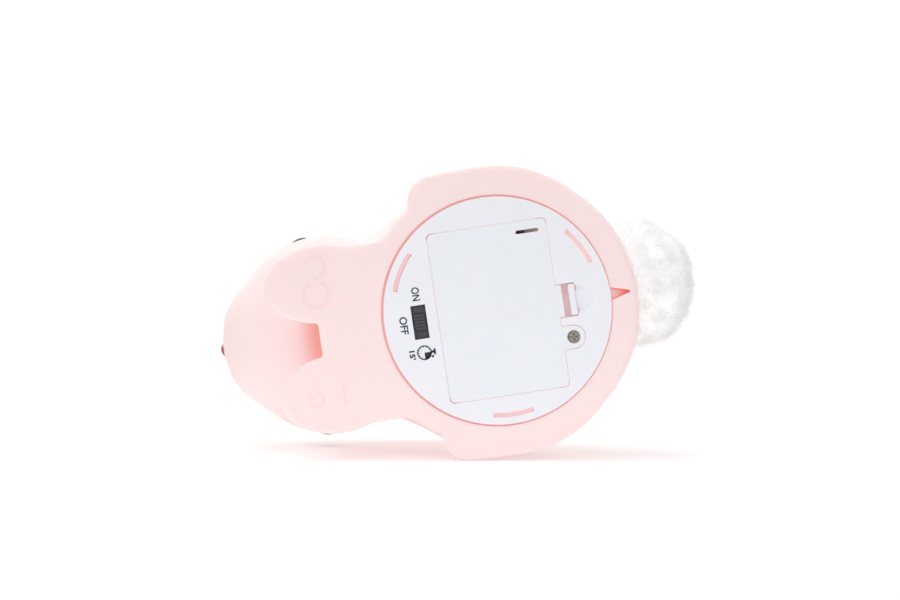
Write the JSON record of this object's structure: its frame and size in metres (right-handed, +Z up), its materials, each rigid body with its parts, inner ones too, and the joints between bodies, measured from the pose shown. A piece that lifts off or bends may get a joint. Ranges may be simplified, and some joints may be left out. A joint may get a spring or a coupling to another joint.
{
  "type": "rabbit night light",
  "caption": "Pale pink soft vinyl crouching rabbit night light, fluffy white pompom tail, round base plate with battery door, latch, screw and slide switch.",
  "frame": {"origin": "centre of the round base plate, on the plane that the light stands on", "axes": "+Z up; the animal faces -Y, the tail is at +Y; its left side is +X"},
  "size_m": [0.0924, 0.1628, 0.093],
  "materials": {
    "vinyl_pink": "soft matt vinyl, pale pink, slightly translucent",
    "eye_black": "gloss black",
    "nose_rose": "matt dark rose",
    "pompom_fur": "long white faux fur",
    "clear_plastic": "natural nylon",
    "plastic_white": "fine-textured white",
    "plastic_door": "fine-textured cool white",
    "steel": "zinc plated",
    "plastic_black": "satin black",
    "battery_jacket": "satin wrapped steel can",
    "nickel": "nickel plated spring steel",
    "board_green": "solder mask",
    "led_lens": "clear epoxy",
    "chip_black": "moulded epoxy",
    "capacitor_black": "sleeved can",
    "resistor_tan": "ceramic chip",
    "wire_red": "PVC insulation",
    "wire_black": "PVC insulation",
    "diffuser_white": "translucent milky white"
  },
  "bodies": {
    "body": {"body_skin": "vinyl_pink", "eye_left": "eye_black", "eye_right": "eye_black", "nose": "nose_rose", "tail_pompom": "pompom_fur", "tail_stem": "clear_plastic", "tail_washer": "clear_plastic", "base_plate": "plastic_white", "switch_body": "plastic_black", "battery_1": "battery_jacket", "battery_2": "battery_jacket", "battery_3": "battery_jacket", "contact_link_front": "nickel", "contact_link_rear": "nickel", "contact_minus": "nickel", "contact_plus": "nickel", "contact_springs": "nickel", "circuit_board": "board_green", "board_screws": "steel", "leds": "led_lens", "timer_chip": "chip_black", "capacitor": "capacitor_black", "resistors": "resistor_tan", "lead_red": "wire_red", "lead_black": "wire_black", "switch_leads": "wire_black", "light_diffuser": "diffuser_white"},
    "door": {"battery_door": "plastic_door"},
    "latch": {"door_latch": "plastic_door"},
    "screw": {"door_screw": "steel"},
    "switch": {"switch_knob": "plastic_black"}
  },
  "joints": [
    {"name": "switch_slide", "type": "slide", "parent": "body", "child": "switch", "axis": [1, 0, 0], "range_m": [-0.0026, 0.0026]},
    {"name": "door_hinge", "type": "hinge", "parent": "body", "child": "door", "pos_m": [0, -0.0189, 0], "axis": [-1, 0, 0], "range_deg": [0, 100]},
    {"name": "latch_flex", "type": "hinge", "parent": "door", "child": "latch", "pos_m": [0, 0.0218, 0.0062], "axis": [-1, 0, 0], "range_deg": [0, 14], "stiffness_Nm_per_rad": 0.05},
    {"name": "door_screw_turn", "type": "hinge", "parent": "door", "child": "screw", "pos_m": [-0.0118, 0.0227, 0.0003], "axis": [0, 0, 1], "continuous": true}
  ]
}
